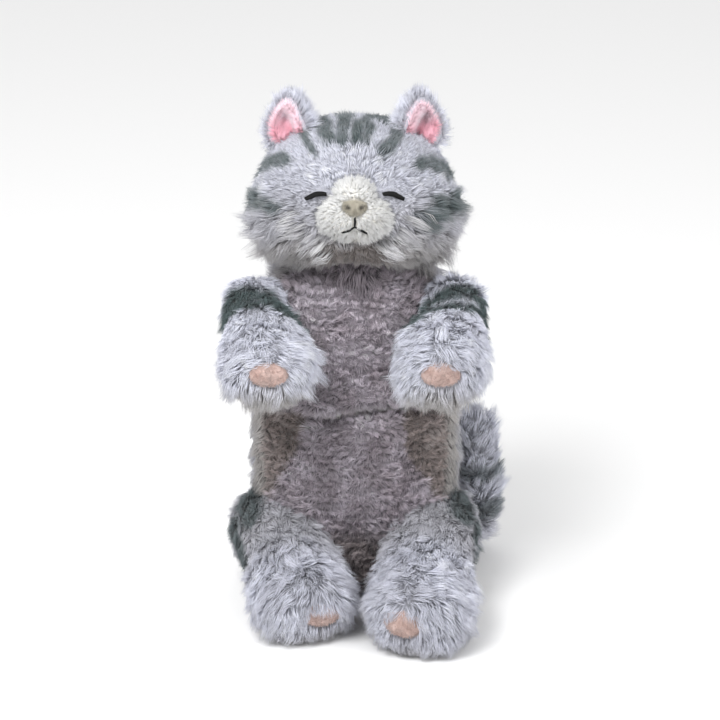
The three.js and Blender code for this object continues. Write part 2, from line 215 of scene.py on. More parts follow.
def settle(obj, voxel, rounds, grow_by=0.0):
    """Remeshes obj evenly, softens its facets and grows it outward."""
    even = obj.modifiers.new("even", "REMESH")
    even.mode = "VOXEL"
    even.voxel_size = voxel
    even.use_smooth_shade = True
    soft = obj.modifiers.new("soft", "SMOOTH")
    soft.factor = 0.5
    soft.iterations = rounds
    if grow_by:
        out = obj.modifiers.new("grow", "DISPLACE")
        out.strength = grow_by
        out.mid_level = 0.0
    graph = bpy.context.evaluated_depsgraph_get()
    mesh = bpy.data.meshes.new_from_object(obj.evaluated_get(graph), depsgraph=graph)
    obj.modifiers.clear()
    old = obj.data
    obj.data = mesh
    bpy.data.meshes.remove(old)
    return obj


def tree_of(obj):
    points = [tuple(p) for p in coords(obj)]
    return BVHTree.FromPolygons(points, [tuple(t) for t in triangles(obj).tolist()])


def paint(obj, colours):
    """Stores one linear colour per vertex, which the pile and cloth materials read."""
    layer = obj.data.attributes.new("coat", "FLOAT_COLOR", "POINT")
    rgba = np.ones((len(colours), 4), dtype=np.float32)
    rgba[:, :3] = colours
    layer.data.foreach_set("color", rgba.ravel())


# ---- materials
SPECULAR = 0.25
SHEEN_ROUGHNESS = 0.5
BUMP_STRENGTH = 0.5


def dial(node, **values):
    """Sets inputs of a shader node; an underscore stands for a space."""
    for name, value in values.items():
        node.inputs[name.replace("_", " ")].default_value = value


def noise_height(nt, where, scale, detail):
    noise = nt.nodes.new("ShaderNodeTexNoise")
    dial(noise, Scale=scale, Detail=detail)
    nt.links.new(where.outputs["Object"], noise.inputs["Vector"])
    return noise.outputs["Fac"]


def weave_height(nt, where, scale):
    """The higher of two crossed sets of threads."""
    high = nt.nodes.new("ShaderNodeMath")
    high.operation = "MAXIMUM"
    for slot, way in enumerate(("X", "Z")):
        wave = nt.nodes.new("ShaderNodeTexWave")
        wave.bands_direction = way
        dial(wave, Scale=scale, Distortion=0.6)
        nt.links.new(where.outputs["Object"], wave.inputs["Vector"])
        nt.links.new(wave.outputs["Fac"], high.inputs[slot])
    return high.outputs[0]


def material(name, rough, mottle, mottle_scale=260.0, sheen=0.0, flat=None, fuzz=None, weave=None):
    """Cloth coloured by the coat attribute, or by flat; fuzz and weave are a bump's scale and depth."""
    mat = bpy.data.materials.new(name)
    mat.use_nodes = True
    nt = mat.node_tree
    bsdf = nt.nodes["Principled BSDF"]
    dial(bsdf, Roughness=rough, Specular_IOR_Level=SPECULAR, Sheen_Weight=sheen,
         Sheen_Roughness=SHEEN_ROUGHNESS)
    where = nt.nodes.new("ShaderNodeTexCoord")
    uneven = nt.nodes.new("ShaderNodeMapRange")
    dial(uneven, To_Min=1 - mottle, To_Max=1 + mottle)
    nt.links.new(noise_height(nt, where, mottle_scale, 3.0), uneven.inputs["Value"])
    tint = nt.nodes.new("ShaderNodeVectorMath")
    tint.operation = "SCALE"
    if flat is None:
        coat = nt.nodes.new("ShaderNodeAttribute")
        coat.attribute_name = "coat"
        nt.links.new(coat.outputs["Color"], tint.inputs[0])
    else:
        tint.inputs[0].default_value = tuple(flat)
    nt.links.new(uneven.outputs["Result"], tint.inputs["Scale"])
    nt.links.new(tint.outputs["Vector"], bsdf.inputs["Base Color"])
    if fuzz or weave:
        scale, depth = fuzz or weave
        height = noise_height(nt, where, scale, 4.0) if fuzz else weave_height(nt, where, scale)
        bump = nt.nodes.new("ShaderNodeBump")
        dial(bump, Strength=BUMP_STRENGTH, Distance=depth)
        nt.links.new(height, bump.inputs["Height"])
        nt.links.new(bump.outputs["Normal"], bsdf.inputs["Normal"])
    return mat


FUR = material("fur", rough=0.8, mottle=0.10, mottle_scale=300, sheen=0.25)
SKIN = material("backing", rough=0.95, mottle=0.15, sheen=0.1, fuzz=(900, 0.0008))
SHORT = material("short_pile", rough=0.85, mottle=0.16, mottle_scale=220, sheen=0.35)
THREADS = material("thread", rough=0.6, mottle=0.2, flat=THREAD)
WOOL = material("wadding_fibre", rough=1.0, mottle=0.06, sheen=0.2, flat=WADDING, fuzz=(260, 0.002))
SACK = material("pouch_weave", rough=0.95, mottle=0.08, flat=POUCH, weave=(500, 0.0004))

# ---- fur
STRAND_LIMIT = 20000  # strands in one piece
ROOT_INSET = 0.0006  # a strand starts this far inside its cloth
CURL = 0.5  # how far the outer half turns on toward the comb
SAG = 0.15  # how far the outer half hangs
TAPER = (1.0, 0.75)  # width at the root and half way
# share of a strand's colour at half way: painted shade in the pile
HALF_WAY_SHADE = 0.95
SQUASH = 0.004  # pile closer to the ground than this lies pressed flat
CORNERS = 3
UV_SIDES = (0.1, 0.9)
UV_ENDS = (0.06, 0.94)
UV_ROOT_TIP = 0.2


def press(z):
    """Heights of pile that lies squashed on the ground: nothing goes below it."""
    h = z - FLOOR_Z
    return FLOOR_Z + np.where(h < SQUASH, SQUASH * np.exp(np.minimum(h / SQUASH, 1) - 1), h)


def scatter(obj, density, seed, keep=None):
    """Random points on obj, density per square millimetre, thinned by keep(points, normals)."""
    rng = np.random.default_rng(seed)
    v, n, t = coords(obj), normals(obj), triangles(obj)
    a, b, c = v[t[:, 0]], v[t[:, 1]], v[t[:, 2]]
    area = np.linalg.norm(np.cross(b - a, c - a), axis=1) / 2
    count = int(area.sum() / (MM * MM) * density)
    pick = rng.choice(len(t), count, p=area / area.sum())
    u = rng.random((count, 2))
    over = u.sum(1) > 1
    u[over] = 1 - u[over]
    w = np.column_stack([1 - u.sum(1), u])
    p = np.einsum("ij,ijk->ik", w, v[t[pick]])
    q = unit(np.einsum("ij,ijk->ik", w, n[t[pick]]))
    if keep is not None:
        chosen = rng.random(count) < keep(p, q)
        p, q = p[chosen], q[chosen]
    return p, q


def clump_ends(rng, root, paths, length, shade, clump, clump_size, lock, stretch):
    """Pulls the strands of each clump toward its leader; lock swings whole clumps aside."""
    leaders = rng.choice(len(root), max(len(root) // clump_size, 1), replace=False)
    tree = KDTree(len(leaders))
    for i, s in enumerate(leaders):
        tree.insert(root[s] * stretch, i)
    tree.balance()
    near = np.array([tree.find(p)[1] for p in root * np.array(stretch)])
    lead = leaders[near]
    apart = root - root[lead]
    swing = rng.normal(0, lock, (len(leaders), 3))[near] * length[:, None]
    pull = clump * rng.uniform(0.6, 1.15, len(root))[:, None]
    paths[-1] = paths[-1] * (1 - pull) + (paths[-1][lead] + apart * 0.3 + swing) * pull
    if len(paths) > 2:
        bend = paths[1][lead] + apart * 0.7 + swing * 0.4
        paths[1] = paths[1] * (1 - pull * 0.5) + bend * pull * 0.5
    return paths, shade * rng.normal(1, 0.07, len(leaders))[near]


def strand_faces(levels):
    """Triangles of one strand and their UVs, for rings at these levels and a tip."""
    left, right = UV_SIDES
    middle = (left + right) / 2
    top = len(levels) - 1
    tris, uvs = [], []
    for k in range(top):
        lo, hi = levels[k], levels[k + 1]
        for j in range(CORNERS):
            a, b = CORNERS * k + j, CORNERS * k + (j + 1) % CORNERS
            tris += [(a, b, b + CORNERS), (a, b + CORNERS, a + CORNERS)]
            uvs += [((left, lo), (right, lo), (right, hi)), ((left, lo), (right, hi), (left, hi))]
    tip = CORNERS * len(levels)
    for j in range(CORNERS):
        tris.append((CORNERS * top + j, CORNERS * top + (j + 1) % CORNERS, tip))
        uvs.append(((left, levels[top]), (right, levels[top]), (middle, UV_ENDS[1])))
    tris.append((2, 1, 0))
    uvs.append(((left, UV_ENDS[0]), (right, UV_ENDS[0]), (middle, UV_ROOT_TIP)))
    return np.array(tris), np.array(uvs)


def strands(root, normal, comb, length, width, lean, colour, seed, segments=2, stray=0.14, clump=0.5,
            clump_size=16, lock=0.0, stretch=(1.0, 1.0, 1.0), root_dark=0.6, tip_light=1.15):
    """Verts, tris, colours and UVs of thin tapered strands that lean from the normal toward comb."""
    rng = np.random.default_rng(seed)
    n = len(root)
    length = length * rng.uniform(0.8, 1.15, n)
    lean = lean + rng.normal(0, 0.12, n)
    comb = unit(flat_on(comb, normal) + rng.normal(0, 0.2, (n, 3)))
    tilted = normal * np.cos(lean)[:, None] + comb * np.sin(lean)[:, None]
    first = unit(tilted + rng.normal(0, stray, (n, 3)))
    second = unit(first + comb * CURL - UP * SAG + rng.normal(0, stray, (n, 3)))
    half = (length * 0.5)[:, None]
    if segments == 1:
        paths = [root - normal * ROOT_INSET, root + first * length[:, None]]
    else:
        paths = [root - normal * ROOT_INSET, root + first * half, root + first * half + second * half]
    shade = rng.normal(1, 0.05, n)
    if n > 4 * clump_size:
        paths, shade = clump_ends(rng, root, paths, length, shade, clump, clump_size, lock, stretch)
    for points in paths[1:]:
        points[:, 2] = press(points[:, 2])

    *stations, tip = paths
    axis = unit(tip - stations[0])
    side = unit(np.cross(axis, rng.normal(size=(n, 3))))
    other = np.cross(axis, side)
    thick = width * rng.uniform(0.75, 1.25, n)
    rings = []
    for centre, taper in zip(stations, TAPER):
        for turn in 2 * math.pi * np.arange(CORNERS) / CORNERS:
            out = side * math.cos(turn) + other * math.sin(turn)
            rings.append(centre + out * (thick * taper / 2)[:, None])
    rings.append(tip)
    verts = np.stack(rings, axis=1).reshape(-1, 3)
    verts[:, 2] = np.maximum(verts[:, 2], FLOOR_Z + 0.1 * MM)

    low, high = UV_ENDS
    tris, uvs = strand_faces([low + (high - low) * k / len(stations) for k in range(len(stations))])
    faces = (np.arange(n)[:, None, None] * len(rings) + tris[None]).reshape(-1, 3)
    across = math.ceil(math.sqrt(n))
    cell = np.column_stack([np.arange(n) % across, np.arange(n) // across]) / across
    uv = (cell[:, None, None, :] + uvs[None] / across).reshape(-1, 2)
    base = colour * shade[:, None]
    # Each strand is painted darker at its root (root_dark) and half way, and lighter at its tip
    # (tip_light): painted shade deep in the pile and a painted highlight on the tips.
    fade = [share for share in (root_dark, HALF_WAY_SHADE)[: len(stations)] for _ in range(CORNERS)]
    cols = np.stack([np.clip(base * share, 0, 1) for share in fade + [tip_light]], axis=1)
    return verts, faces, cols.reshape(-1, 3), uv


def shallow(points, blockers, depth, search=0.05):
    """True where a point lies outside every blocker mesh, or less than depth inside it."""
    free = np.ones(len(points), dtype=bool)
    for tree in blockers:
        for i in np.nonzero(free)[0]:
            hit, nor, _, _ = tree.find_nearest(Vector(points[i]), search)
            if hit is not None and (Vector(points[i]) - hit).dot(nor) < -depth:
                free[i] = False
    return free


HIDDEN = 0.016  # pile goes on this far inside a neighbour, so no skin is bald when a limb moves
TREES = {}


def grow(name, obj, body, slot, *, density, seed, comb, length, width, lean, coat, keep=None,
         blockers=(), mat=FUR, **more):
    """Pile on obj, in pieces of at most STRAND_LIMIT strands; density is per square millimetre."""
    p, n = scatter(obj, density, seed, keep)
    free = shallow(p, [TREES[b] for b in blockers], HIDDEN)
    p, n = p[free], n[free]
    size = length(p, n) if callable(length) else length
    size = size * (1 + 0.22 * ripple(p, 0.011, seed + 7))
    ways, colours = comb(p, n), coat(p, n)
    parts = max(1, math.ceil(len(p) / STRAND_LIMIT))
    round_middle = np.arctan2(p[:, 0] - p[:, 0].mean(), p[:, 2] - p[:, 2].mean())
    for i, chosen in enumerate(np.array_split(np.argsort(round_middle), parts)):
        v, f, c, uv = strands(p[chosen], n[chosen], ways[chosen], size[chosen], width, lean,
                              colours[chosen], seed + 500 + i, **more)
        piece = add_object(name if parts == 1 else f"{name}_{i + 1}", v, f)
        paint(piece, c)
        layer = piece.data.uv_layers.new(name="OFBake")
        layer.data.foreach_set("uv", uv.astype(np.float32).ravel())
        piece.data.materials.append(mat)
        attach(piece, body)


def down(p, n):
    return np.tile(-UP, (len(p), 1))


# ---- places taken from the frame
JOINTS = {j["name"]: j for j in frame["record"]["behaviour"]["joints"]}


def pivot(joint):
    return np.array(JOINTS[joint]["pos_m"])


def box_of(*nodes):
    """Common box of some nodes of the frame."""
    boxes = np.array([[np.array(corner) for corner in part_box(n)] for n in nodes])
    return boxes[:, 0].min(axis=0), boxes[:, 1].max(axis=0)


HEAD_LOW, HEAD_HIGH = box_of("face_panel", "head_back_panel")
HEAD_TILT = math.radians(20)
HEAD_RISE = 0.0425  # from the middle of the head to its top
HEAD_ORIGIN = np.array([0.0, (HEAD_LOW[1] + HEAD_HIGH[1]) / 2, HEAD_HIGH[2] - HEAD_RISE])
HEAD_AXES = np.array([[1, 0, 0], [0, math.cos(HEAD_TILT), -math.sin(HEAD_TILT)],
                      [0, math.sin(HEAD_TILT), math.cos(HEAD_TILT)]])


def in_head(p):
    """Points in the head's own axes, in millimetres: across, depth (front is minus), height."""
    return (p - HEAD_ORIGIN) @ HEAD_AXES.T / MM


def head_way(v):
    """A direction given in the head's own axes."""
    return np.asarray(v, dtype=float) @ HEAD_AXES


def middle_in_head(node):
    low, high = box_of(node)
    return in_head((low + high) / 2)


def gap_to_line(p, line):
    """Distance from points to a broken line."""
    best = np.full(len(p), np.inf)
    for a, b in zip(line[:-1], line[1:]):
        t = np.clip(((p - a) @ (b - a)) / ((b - a) @ (b - a)), 0, 1)
        best = np.minimum(best, np.linalg.norm(p - (a + t[:, None] * (b - a)), axis=1))
    return best


def centre_line(node, bins=9):
    """Middle of a stitched line of the frame, from its inner to its outer end."""
    p = cad_points(node)
    order = np.argsort(np.abs(p[:, 0]))
    return np.array([p[chunk].mean(0) for chunk in np.array_split(order, bins)])


EYES = {side: centre_line("eye_" + side) for side, _ in SIDES}
MUZZLE_Z = middle_in_head("muzzle")[2]
NOSE_AT = middle_in_head("nose")


def eye_gap(p):
    return np.minimum(gap_to_line(p, EYES["left"]), gap_to_line(p, EYES["right"]))


# ---- skins
COVER = 0.00285  # from a filling to the outside of its cover
VOXEL = 0.003
TORSO_VOXEL = 0.0022
TAIL_VOXEL = 0.0025
TORSO_PANELS = ("belly_panel", "back_panel", "seat_panel")
torso = settle(hull("torso_cloth", cad_points(*TORSO_PANELS)), TORSO_VOXEL, 16)
head = settle(hull("head_cloth", cad_points("face_panel", "head_back_panel")), VOXEL, 10)
limbs = {}
for kind, side in LIMBS:
    skin = cad_copy(f"{kind}_cloth_{side}", f"{kind}_stuffing_{side}")
    limbs[f"{kind}_{side}"] = settle(skin, VOXEL, 8, COVER)
tail = settle(cad_copy("tail_cloth", "tail_stuffing"), TAIL_VOXEL, 5, COVER)

# Waist: cross folds where the slack cloth of the front is pushed together.
WAIST_Z = 0.124
FOLDS = (
    # height, sideways centre, half length, rise along the fold, depth, half width of the groove
    (WAIST_Z, 0.010, 0.046, 0.03, 0.0120, 0.0034),
    (WAIST_Z - 0.013, -0.014, 0.034, -0.06, 0.0042, 0.0032),
    (WAIST_Z + 0.022, 0.018, 0.020, 0.25, 0.0016, 0.0040),
)
MAIN_FOLD_DEPTH = FOLDS[0][4]
LIP_AT, LIP_WIDE, LIP_HIGH = 3.2, 2.2, 0.5  # the cloth on both sides of a groove stands up a little


def fold_depth(p):
    depth = np.zeros(len(p))
    for z, x, half, slope, deep, wide in FOLDS:
        line = z + slope * (p[:, 0] - x) + 0.0018 * np.sin(p[:, 0] / 0.013)
        across = (p[:, 2] - line) / wide
        lips = bell((across - LIP_AT) / LIP_WIDE) + bell((across + LIP_AT) / LIP_WIDE)
        depth += deep * (bell(across) - LIP_HIGH * lips) * smooth(1.15, 0.6, np.abs(p[:, 0] - x) / half)
    return depth


def torso_relief(p, n):
    """Folds on the front and lumps everywhere but on the seat."""
    uneven = ripple(p, 0.030, 3) * 0.0012 + ripple(p, 0.013, 4) * 0.0005
    return uneven * smooth(0.004, 0.02, p[:, 2]) - fold_depth(p) * smooth(-0.15, -0.7, n[:, 1])


swell(torso, torso_relief)
swell(head, lumps(0.020, 0.0007, 11))
for i, limb in enumerate(limbs.values()):
    swell(limb, lumps(0.020, 0.0007, 20 + i))

# ---- coat colours
# Marks on the face: strokes between two points (across, height) with a half width, in head millimetres.
FACE_MARKS = (
    ((-20, 38), (-15, 24), 5.2),
    ((-28, 36), (-28, 25), 3.0),
    ((-28, 25), (-23, 15), 2.6),
    ((-26, 38), (-17, 39), 2.6),
    ((-3, 46), (-6, 34), 4.6),
    ((-6, 34), (-7, 23), 4.0),
    ((2, 45), (5, 44), 2.4),
    ((10, 38), (2, 31), 3.2),
    ((2, 31), (1, 22), 3.4),
    ((8, 30), (6, 20), 3.0),
    ((14, 38), (24, 35), 4.6),
    ((24, 35), (24, 25), 4.6),
    ((24, 25), (17, 16), 4.4),
    ((-53, 9), (-40, 12), 4.8),
    ((36, 8), (43, 11), 4.4),
    ((43, 11), (54, 5), 4.4),
    ((-57, -9), (-51, -12), 5.6),
    ((-45, -12), (-41, -15), 3.4),
    ((36, -22), (42, -14), 4.6),
    ((42, -14), (54, -12), 6.0),
)
MARKS_DROP = 2.0
# Patches on the thighs: strokes between two points (along the leg, height), in millimetres.
THIGH_MARKS = (((-4, 60), (16, 54), 8), ((8, 40), (30, 28), 8))


def stroke(q, a, b, half):
    """1 inside a stroke, falling to 0 outside."""
    a, b = np.array(a, dtype=float), np.array(b, dtype=float)
    t = np.clip(((q - a) @ (b - a)) / ((b - a) @ (b - a)), 0, 1)
    gap = np.linalg.norm(q - (a + t[:, None] * (b - a)), axis=1)
    return smooth(1.45, 0.55, gap / half)


def strokes(q, marks):
    return np.max([stroke(q, *mark) for mark in marks], axis=0)


def wobble(p, size, seed):
    return np.column_stack([ripple(p, size, seed), ripple(p, size, seed + 1)])


def head_coat(p, n=None):
    h = in_head(p)
    q = h[:, [0, 2]] + wobble(p, 0.008, 31) * 1.5
    q[:, 1] -= MARKS_DROP
    face = strokes(q, FACE_MARKS) * smooth(16, 6, h[:, 1])
    rows = smooth(0.2, 0.7, np.sin(h[:, 0] / 5.6 + 0.5 * np.sin(h[:, 2] / 8)))
    bands = rows * smooth(44, 30, np.abs(h[:, 0])) * smooth(-26, -8, h[:, 2]) * smooth(10, 20, h[:, 1])
    # Under the muzzle the chin is painted dark brown: a painted shadow cast by the muzzle.
    chin_shadow = smooth(26, 12, np.abs(h[:, 0])) * smooth(-30, -36, h[:, 2]) * smooth(-10, -22, h[:, 1])
    base = mix(LAVENDER, LAVENDER_SHADE, 0.25 + 0.35 * ripple(p, 0.016, 33))
    base = mix(base, GREY, smooth(4, -22, h[:, 2]) * 0.75)
    base = mix(base, UNDER_GREY, smooth(-20, -38, h[:, 2]) * 0.7)
    base = mix(base, BELLY_LOW * 0.75, chin_shadow * 0.8)
    return mix(base, TABBY, np.maximum(face, bands) * (0.88 + 0.12 * ripple(p, 0.006, 34)))


ARM_BAND = (1, 7, 25, 30)  # along the arm in mm: start, full, full, end
ARM_BAND_LOW = (0.150, 0.163)  # it fades out between these heights
THIGH_PATCH_X = (50, 60)  # the patches lie outside this, in mm


def limb_along(p, joint):
    """Distance forward from the pivot, in millimetres."""
    return (pivot(joint)[1] - p[:, 1]) / MM


def arm_coat(p, side):
    at = pivot(f"arm_lift_{side}")
    inward = (np.abs(at[0]) - np.abs(p[:, 0])) / MM
    f = limb_along(p, f"arm_lift_{side}") + 2.5 * ripple(p, 0.012, 41) - 0.35 * inward
    start, full, full_end, end = ARM_BAND
    band = smooth(start, full, f) * smooth(end, full_end, f) * smooth(*ARM_BAND_LOW, p[:, 2])
    gap = 1 - 0.85 * bell((f - 15) / 3.0) * smooth(-0.2, 0.6, ripple(p, 0.02, 44))
    base = mix(LAVENDER, LAVENDER_SHADE, 0.2 + 0.4 * ripple(p, 0.016, 42))
    # The underside of the arm is painted browner grey: painted shade under the arm.
    base = mix(base, UNDER_GREY, smooth(at[2] - 0.014, at[2] - 0.026, p[:, 2]) * 0.85)
    return mix(base, TABBY, band * gap)


def leg_coat(p, side):
    f = limb_along(p, f"leg_splay_{side}")
    q = np.column_stack([f, p[:, 2] / MM]) + wobble(p, 0.010, 51) * 2.5
    patch = strokes(q, THIGH_MARKS) * smooth(*THIGH_PATCH_X, np.abs(p[:, 0]) / MM)
    base = mix(LAVENDER, LAVENDER_SHADE, 0.5 + 0.5 * ripple(p, 0.016, 53))
    base = mix(base, GREY, smooth(60, 30, f) * 0.8)
    # Close to the floor the leg is painted browner grey: painted shade near the ground.
    base = mix(base, UNDER_GREY, smooth(0.016, 0.006, p[:, 2]) * 0.6)
    return mix(base, TABBY, patch * 0.85)


TAIL_TURN = (0.056, 0.064)  # across: where the tail leaves the back and turns up
TAIL_BANDS = ((52, 55, 60, 64), (24, 28, 38, 42))  # heights in mm: start, full, full, end


def tail_coat(p, n=None):
    z = p[:, 2] / MM + 2 * ripple(p, 0.01, 61)
    far = smooth(*TAIL_TURN, p[:, 0])
    band = np.max([smooth(a, b, z) * smooth(d, c, z) for a, b, c, d in TAIL_BANDS], axis=0) * far
    rear = smooth(0.3, 0.8, np.sin(p[:, 0] / 0.0058)) * (1 - far)
    base = mix(LAVENDER, GREY, 0.05 + 0.35 * ripple(p, 0.014, 62) + smooth(60, 30, z) * 0.25)
    return mix(base, TABBY, np.maximum(band, rear * 0.8) * 0.7)


BELLY_HALF = 0.0515
BELLY_NARROWER = 0.004  # at the chest
CHEST = (0.16, 0.195)
SEAM_SOFT = 0.0012
BELLY_REAR_Y = -0.012


def belly_share(p):
    """1 on the belly panel, 0 on the grey panel behind it."""
    edge = BELLY_HALF - BELLY_NARROWER * smooth(*CHEST, p[:, 2])
    side_edge = smooth(edge + SEAM_SOFT, edge - SEAM_SOFT, np.abs(p[:, 0]))
    return side_edge * smooth(BELLY_REAR_Y, BELLY_REAR_Y - 0.006, p[:, 1])


def groove(p):
    """1 at the bottom of a waist fold, 0 away from it."""
    depth = np.clip(fold_depth(p) / MAIN_FOLD_DEPTH, 0, 1)
    return depth * smooth(BELLY_REAR_Y, BELLY_REAR_Y - 0.008, p[:, 1])


HIP_PATCH_X = 0.024  # inner edge of the brown patches at the waist; they move outward below it


def belly_cloth(p):
    """Mauve, browner in two patches beside the hips and under the arms, and browner and darker low
    down: painted shade near the floor.
    """
    x, z = p[:, 0], p[:, 2]
    reach = HIP_PATCH_X + 0.40 * np.maximum(WAIST_Z - 0.006 - z, 0) + 0.0025 * ripple(p, 0.02, 73)
    patch = smooth(reach, reach + 0.004, np.abs(x + 0.001))
    patch = patch * smooth(WAIST_Z + 0.004, WAIST_Z - 0.004, z) * smooth(0.050, 0.070, z)
    corner = smooth(0.036, 0.046, np.abs(x)) * smooth(0.150, 0.170, z)
    base = mix(BELLY, BELLY_TIP, 0.30 + 0.5 * ripple(p, 0.011, 71) + 0.3 * ripple(p, 0.004, 72))
    base = mix(base, BELLY_LOW, np.maximum(patch, corner * 0.7) * 0.85)
    # Low down the belly is painted darker: painted shade near the floor.
    return mix(base, BELLY_LOW * 0.8, smooth(0.052, 0.036, z) * 0.7)


def back_cloth(p):
    """Grey with cross bands."""
    wave = p[:, 2] / MM + 5 * np.sin(p[:, 0] / 0.024) + 3 * ripple(p, 0.02, 74)
    bands = smooth(0.25, 0.8, np.sin(wave / 6.6)) * smooth(20, 34, wave) * smooth(196, 180, wave)
    base = mix(GREY, LAVENDER_SHADE, 0.2 + 0.5 * ripple(p, 0.016, 75))
    base = mix(base, UNDER_GREY, smooth(0.0, -0.02, p[:, 1]) * 0.8)
    return mix(base, TABBY, bands * 0.75 * smooth(-0.01, 0.012, p[:, 1]))


# The cloth is painted almost black at the bottom of each waist fold: painted shade in the creases.
def torso_coat(p, n=None):
    return mix(back_cloth(p), belly_cloth(p), belly_share(p)) * (1 - 0.92 * groove(p))[:, None]


# ---- backing cloth under the pile
def dress(obj, body, mat, nodes, colours=None):
    """Gives a piece its colours, material and body, and hides the nodes it stands for."""
    if colours is not None:
        paint(obj, colours)
    obj.data.materials.clear()
    obj.data.materials.append(mat)
    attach(obj, body)
    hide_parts(*nodes)


# Each backing cloth is painted darker than its pile by UNDER: painted shade deep in the pile.
dress(torso, "body", SKIN, TORSO_PANELS, torso_coat(coords(torso)) * UNDER)
dress(head, "head", SKIN, ["face_panel", "head_back_panel"],
      head_coat(coords(head)) * UNDER)
for kind, side in LIMBS:
    limb, coat = limbs[f"{kind}_{side}"], arm_coat if kind == "arm" else leg_coat
    dress(limb, f"{kind}_{side}", SKIN, [f"{kind}_cover_{side}"],
          coat(coords(limb), side) * UNDER)
dress(tail, "tail", SKIN, ["tail_cover"], tail_coat(coords(tail)) * UNDER)

# ---- filling inside
INSIDE = (("body_stuffing", "body"), ("head_stuffing", "head"), ("neck_filling", "neck"),
          ("tail_stuffing", "tail"), ("arm_stuffing_left", "arm_left"),
          ("arm_stuffing_right", "arm_right"), ("leg_stuffing_left", "leg_left"),
          ("leg_stuffing_right", "leg_right"))
for i, (node, body) in enumerate(INSIDE):
    wad = settle(cad_copy(node + "_fibre", node), 0.004, 3)
    swell(wad, lumps(0.012, 0.0009, 200 + i, sink=0.0006))
    dress(wad, body, WOOL, [node])
pouch = settle(cad_copy("pellet_pouch_cloth", "pellet_pouch"), 0.003, 2)
swell(pouch, lumps(0.005, 0.0006, 210, sink=0.0004))
dress(pouch, "body", SACK, ["pellet_pouch"])

TREES.update(torso=tree_of(torso), head=tree_of(head), tail=tree_of(tail))
TREES.update({key: tree_of(limb) for key, limb in limbs.items()})

# ---- head fur
FUR_DENSITY = 1.75  # strands per square millimetre
FINE = 0.0004
TUFTS = dict(clump=0.68, clump_size=34, lock=0.24, stray=0.09, root_dark=0.44, tip_light=1.15)
EYE_CLEAR = 0.0021  # half width of the bare strip round an eye or a mouth line


def muzzle_reach(h):
    """Distance from the middle of the muzzle in muzzle widths: 1 on its outline."""
    lower = np.hypot(h[:, 0] / 22.5, (h[:, 2] + 17.5) / 14.5)
    upper = np.hypot(h[:, 0] / 13.5, (h[:, 2] + 6) / 11)
    return np.minimum(lower, upper)


def face_reach(h):
    """Distance from the middle of the muzzle, in millimetres."""
    return np.hypot(h[:, 0], h[:, 2] - MUZZLE_Z)


def head_keep(p):
    h = in_head(p)
    bare = (h[:, 1] < -20) & (muzzle_reach(h) < 0.9)
    return np.where(bare | (eye_gap(p) < EYE_CLEAR), 0.0, 1.0)


def head_comb(p, n):
    """Away from the muzzle on the face, down on the back, and down low on the cheeks."""
    h = in_head(p)
    out = head_way(np.column_stack([h[:, 0], np.zeros(len(p)), h[:, 2] - MUZZLE_Z]))
    back = head_way([0.0, 14.0, 0.0])
    fall = head_way([0.0, 0.0, -30.0])
    rear = smooth(-2, 20, h[:, 1])[:, None]
    way = (out + back) * (1 - rear) + (fall + out * 0.2) * rear
    low = smooth(-12, -30, h[:, 2])[:, None]
    return unit(way - UP * 16 * low)


def cheek_share(p):
    """1 where the pile of the face is long and tufted, 0 on the short smooth crown."""
    h = in_head(p)
    ring = smooth(46, 34, face_reach(h)) * smooth(6, -8, h[:, 1])
    low = smooth(6, -8, h[:, 2] - 0.12 * np.abs(h[:, 0]))
    return np.maximum(low, ring * 0.8)


def crown_length(p, n):
    h = in_head(p)
    size = 4.6 + 4.0 * smooth(0, 14, h[:, 1]) + 2.0 * smooth(12, 0, h[:, 2])
    return size * MM * (0.5 + 0.5 * smooth(0.002, 0.008, eye_gap(p)))


def cheek_length(p, n):
    h = in_head(p)
    size = 5.5 + 8.5 * smooth(24, 42, face_reach(h)) * smooth(6, -20, h[:, 2])
    return size * MM * (0.4 + 0.6 * smooth(0.002, 0.010, eye_gap(p)))


def tuft_share(p, n):
    """Ring of long pale tufts beside and under the muzzle."""
    h = in_head(p)
    reach = muzzle_reach(h)
    ring = smooth(0.98, 1.08, reach) * smooth(1.75, 1.35, reach)
    ring *= smooth(-9, -17, h[:, 2]) * smooth(0, -10, h[:, 1]) * smooth(0.006, 0.010, eye_gap(p))
    return ring * smooth(0.1, 0.5, np.abs(ripple(p, 0.010, 121))) * smooth(8, 14, np.abs(h[:, 0]))


def tuft_comb(p, n):
    h = in_head(p)
    return head_way(np.column_stack([h[:, 0] * 1.2, np.zeros(len(p)), h[:, 2] - MUZZLE_Z - 8]))


def tuft_coat(p, n):
    return mix(GREY, CREAM, 0.30 + 0.35 * ripple(p, 0.008, 122))


grow("crown_fur", head, "head", "lavender_pile", density=2.5, seed=101, comb=head_comb,
     keep=lambda p, n: head_keep(p) * (1 - cheek_share(p)), length=crown_length, width=0.00036,
     lean=1.22, coat=head_coat, clump=0.45, clump_size=14, lock=0.12, stray=0.08, root_dark=0.72,
     tip_light=1.1)
grow("cheek_fur", head, "head", "lavender_pile", density=FUR_DENSITY, seed=111, comb=head_comb,
     keep=lambda p, n: head_keep(p) * cheek_share(p), length=cheek_length, width=FINE, lean=1.0,
     coat=head_coat, clump=0.75, clump_size=40, lock=0.26, stray=0.08, root_dark=0.30, tip_light=1.32)
grow("cheek_tufts", head, "head", "lavender_pile", density=1.3, seed=123, keep=tuft_share,
     comb=tuft_comb, length=0.0145, width=0.00042, lean=0.95, coat=tuft_coat, clump=0.8, clump_size=30,
     lock=0.2, stray=0.07, root_dark=0.38, tip_light=1.3)

